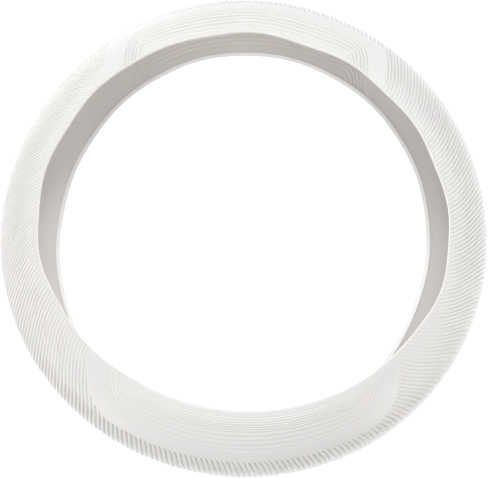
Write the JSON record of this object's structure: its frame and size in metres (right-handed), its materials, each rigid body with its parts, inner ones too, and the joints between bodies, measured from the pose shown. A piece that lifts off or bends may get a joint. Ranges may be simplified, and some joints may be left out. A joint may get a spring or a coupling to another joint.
{
  "type": "steering wheel cover",
  "caption": "Relaxed stretch-on silicone steering wheel cover: a C-section ring, open toward its centre, with spiral grip ribs and contour-grooved front panels.",
  "frame": {"origin": "centre of the ring, in the plane of the rear lip that it rests on", "axes": "+Z along the ring axis, out of the front (driver) side; +Y toward the upper contour panel, at 12 o'clock; +X to the right seen from the front"},
  "size_m": [0.32, 0.32, 0.046],
  "materials": {
    "silicone": "matte, slightly translucent white silicone"
  },
  "bodies": {
    "root": {"front_lip": "silicone", "rear_lip": "silicone", "front_panel_top": "silicone", "front_panel_bottom": "silicone", "front_grip_left": "silicone", "front_grip_right": "silicone", "tread_front": "silicone", "tread_rear": "silicone", "rear_panel_top": "silicone", "rear_panel_bottom": "silicone", "rear_grip_left": "silicone", "rear_grip_right": "silicone"}
  },
  "joints": []
}
